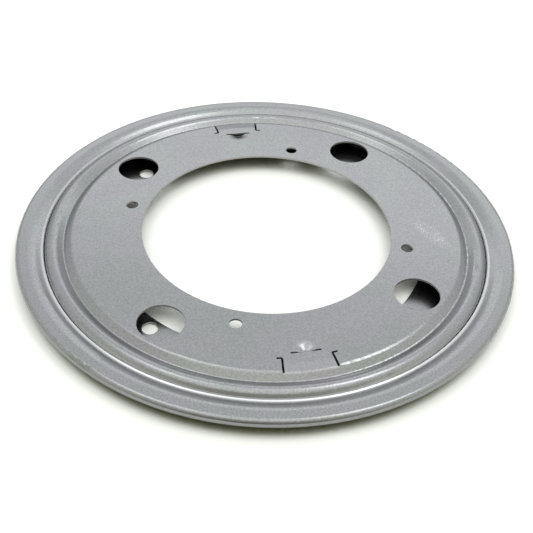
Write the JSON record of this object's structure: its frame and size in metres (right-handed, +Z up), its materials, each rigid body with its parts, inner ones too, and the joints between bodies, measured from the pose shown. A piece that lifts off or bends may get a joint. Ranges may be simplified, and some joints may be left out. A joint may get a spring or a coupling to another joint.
{
  "type": "lazy susan bearing",
  "caption": "Flat round turntable bearing of stamped galvanised sheet: a ring plate on loose balls, trapped in a base plate with a rolled rim.",
  "frame": {"origin": "centre of the bearing on the table, under the base plate's floor", "axes": "+Z up along the axis the turntable spins on; the base plate's screw holes lie at 45 degrees between +X and +Y"},
  "size_m": [0.2286, 0.2286, 0.0079],
  "materials": {
    "zinc_sheet": "satin galvanised sheet",
    "ball_steel": "polished steel"
  },
  "bodies": {
    "base": {"base_plate": "zinc_sheet"},
    "turntable": {"turntable_plate": "zinc_sheet"},
    "ball_train": {"ball_1": "ball_steel", "ball_2": "ball_steel", "ball_3": "ball_steel", "ball_4": "ball_steel", "ball_5": "ball_steel", "ball_6": "ball_steel", "ball_7": "ball_steel", "ball_8": "ball_steel", "ball_9": "ball_steel", "ball_10": "ball_steel", "ball_11": "ball_steel", "ball_12": "ball_steel", "ball_13": "ball_steel", "ball_14": "ball_steel", "ball_15": "ball_steel", "ball_16": "ball_steel", "ball_17": "ball_steel", "ball_18": "ball_steel"}
  },
  "joints": [
    {"name": "turntable_spin", "type": "hinge", "parent": "base", "child": "turntable", "pos_m": [0, 0, 0.00397], "axis": [0, 0, 1], "continuous": true},
    {"name": "ball_orbit", "type": "hinge", "parent": "base", "child": "ball_train", "pos_m": [0, 0, 0.00397], "axis": [0, 0, 1], "continuous": true}
  ],
  "couplings": [
    {"joint": "ball_orbit", "follows": "turntable_spin", "ratio": 0.5}
  ]
}
